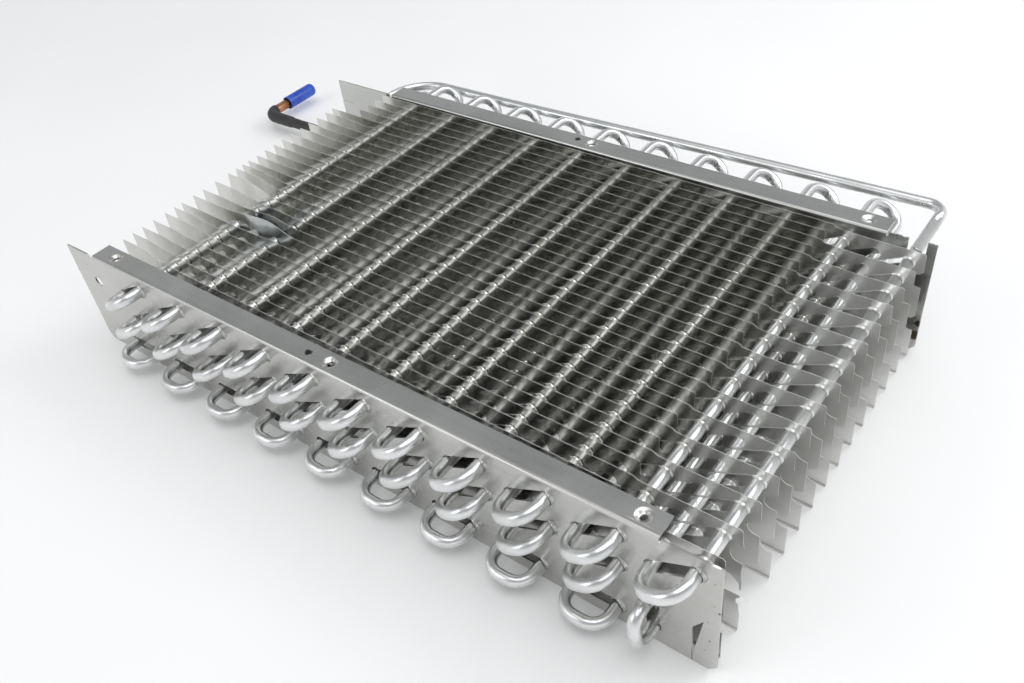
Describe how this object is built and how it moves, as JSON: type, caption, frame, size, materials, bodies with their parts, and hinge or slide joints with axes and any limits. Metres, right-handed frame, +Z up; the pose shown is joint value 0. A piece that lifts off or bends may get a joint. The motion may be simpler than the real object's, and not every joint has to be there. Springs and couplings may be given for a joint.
{
  "type": "evaporator coil",
  "caption": "Flat evaporator coil: a serpentine aluminium tube in three rows through spaced flat fins, between two folded end plates, with a capped copper stub.",
  "frame": {"origin": "centre of the near flange's middle screw hole, where its countersink meets the straight wall", "axes": "+X along the end plates toward the end where the tube's rows are linked, +Y along the tube's legs to the far plate, +Z up out of the flanges"},
  "size_m": [0.6916, 0.398, 0.091],
  "materials": {
    "plate": "satin sheet",
    "fin": "thin bright sheet",
    "tube": "bright drawn tube",
    "sleeve": "heat-shrink sleeve",
    "copper": "dull copper",
    "cap": "glossy soft plastic"
  },
  "bodies": {
    "root": {"near_end_plate": "plate", "far_end_plate": "plate", "top_row_tube": "tube", "middle_row_tube": "tube", "bottom_row_tube": "tube", "return_line": "tube", "inlet_copper_stub": "copper", "return_copper_stub": "copper", "joint_sleeve": "sleeve", "inlet_cap": "cap", "return_cap": "cap", "long_fin_01": "fin", "short_fin_01": "fin", "long_fin_02": "fin", "short_fin_02": "fin", "long_fin_03": "fin", "short_fin_03": "fin", "long_fin_04": "fin", "short_fin_04": "fin", "long_fin_05": "fin", "short_fin_05": "fin", "long_fin_06": "fin", "short_fin_06": "fin", "long_fin_07": "fin", "short_fin_07": "fin", "long_fin_08": "fin", "short_fin_08": "fin", "long_fin_09": "fin", "short_fin_09": "fin", "long_fin_10": "fin", "short_fin_10": "fin", "long_fin_11": "fin", "short_fin_11": "fin", "long_fin_12": "fin", "short_fin_12": "fin", "long_fin_13": "fin", "short_fin_13": "fin", "long_fin_14": "fin", "short_fin_14": "fin", "long_fin_15": "fin"}
  },
  "joints": []
}
